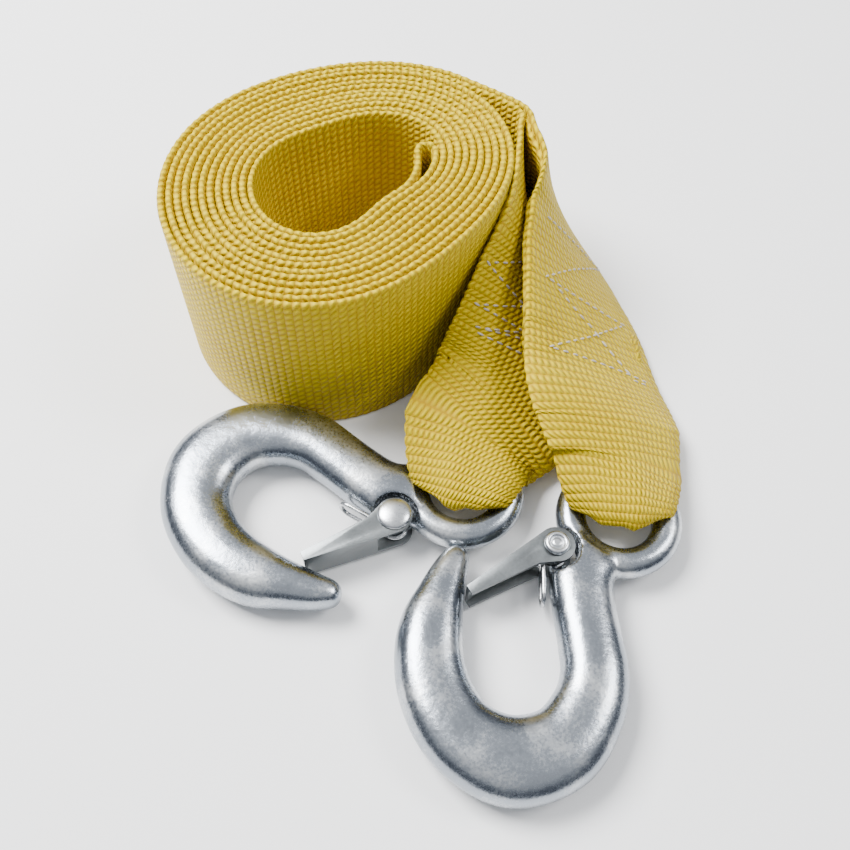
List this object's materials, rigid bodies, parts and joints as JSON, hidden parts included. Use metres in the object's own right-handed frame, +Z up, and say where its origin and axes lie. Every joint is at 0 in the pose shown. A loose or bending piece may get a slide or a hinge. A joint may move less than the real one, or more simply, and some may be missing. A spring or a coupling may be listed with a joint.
{
  "type": "tow strap",
  "caption": "Webbing tow strap wound into a coil on its edge, with a forged slip hook and sprung latch looped into each end.",
  "frame": {"origin": "middle of the footprint on the floor, under the strap as it stands", "axes": "+Z up from the floor, +Y from the hooks to the back of the coil, +X to the right seen from the hooks"},
  "size_m": [0.142, 0.191, 0.0502],
  "materials": {
    "webbing": "woven polyester, bright golden yellow, matt",
    "hook_steel": "zinc plate over forged steel, satin",
    "latch_steel": "zinc plated sheet, satin",
    "rivet_steel": "zinc plate, satin",
    "spring_steel": "drawn wire, bright"
  },
  "bodies": {
    "strap": {"webbing_strap": "webbing", "right_hook": "hook_steel", "right_rivet": "rivet_steel", "right_spring": "spring_steel", "left_hook": "hook_steel", "left_rivet": "rivet_steel", "left_spring": "spring_steel"},
    "right_latch": {"right_latch": "latch_steel"},
    "left_latch": {"left_latch": "latch_steel"}
  },
  "joints": [
    {"name": "right_latch_hinge", "type": "hinge", "parent": "strap", "child": "right_latch", "pos_m": [0.03348, -0.0355, 0.0065], "axis": [0, 0, 1], "range_deg": [0, 30], "stiffness_Nm_per_rad": 0.05, "springref_deg": -57.3},
    {"name": "left_latch_hinge", "type": "hinge", "parent": "strap", "child": "left_latch", "pos_m": [-0.00689, -0.02927, 0.0065], "axis": [0, 0, -1], "range_deg": [0, 30], "stiffness_Nm_per_rad": 0.05, "springref_deg": -57.3}
  ]
}
